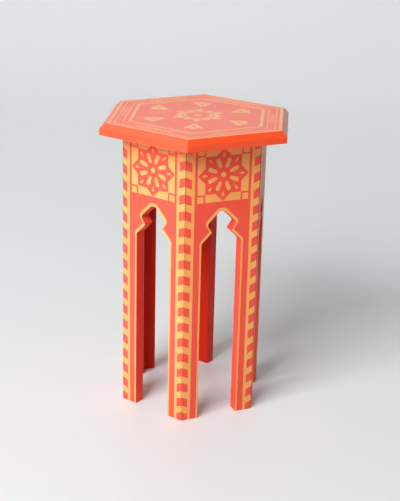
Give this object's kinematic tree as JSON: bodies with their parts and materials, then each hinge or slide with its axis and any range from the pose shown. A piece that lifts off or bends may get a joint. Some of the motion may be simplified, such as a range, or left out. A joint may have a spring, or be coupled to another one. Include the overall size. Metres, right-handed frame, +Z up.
{
  "type": "side table",
  "caption": "Tall hexagonal side table: chamfered top on a hollow body of mitred, arch-cut panels painted with star, chevron and leaf ornament, for standing small things on.",
  "frame": {"origin": "on the floor, under the middle of the table", "axes": "+Z up; the corner that faces the viewer in the picture points to -Y, and +X is to that viewer's right"},
  "size_m": [0.307, 0.3456, 0.5],
  "materials": {
    "red_paint": "satin coral red paint on 19 mm fibreboard",
    "ochre_paint": "satin ochre paint, the ornament on the red",
    "wood_glue": "dark dried glue in the mitres",
    "beech": "sawn and bare",
    "plywood": "bare",
    "zinc_plate": "zinc plated"
  },
  "bodies": {
    "root": {"top_board": "red_paint", "panel_front_right": "red_paint", "panel_right": "red_paint", "panel_back_right": "red_paint", "panel_back_left": "red_paint", "panel_left": "red_paint", "panel_front_left": "red_paint", "mitre_spline_front": "plywood", "mitre_spline_right_front": "plywood", "mitre_spline_right_back": "plywood", "mitre_spline_back": "plywood", "mitre_spline_left_back": "plywood", "mitre_spline_left_front": "plywood", "corner_block_front": "beech", "corner_block_right_front": "beech", "corner_block_right_back": "beech", "corner_block_back": "beech", "corner_block_left_back": "beech", "corner_block_left_front": "beech", "top_screw_front": "zinc_plate", "top_screw_right_front": "zinc_plate", "top_screw_right_back": "zinc_plate", "top_screw_back": "zinc_plate", "top_screw_left_back": "zinc_plate", "top_screw_left_front": "zinc_plate", "block_screw_front_left": "zinc_plate", "block_screw_front_right": "zinc_plate", "block_screw_right_front_left": "zinc_plate", "block_screw_right_front_right": "zinc_plate", "block_screw_right_back_left": "zinc_plate", "block_screw_right_back_right": "zinc_plate", "block_screw_back_left": "zinc_plate", "block_screw_back_right": "zinc_plate", "block_screw_left_back_left": "zinc_plate", "block_screw_left_back_right": "zinc_plate", "block_screw_left_front_left": "zinc_plate", "block_screw_left_front_right": "zinc_plate"}
  },
  "joints": []
}
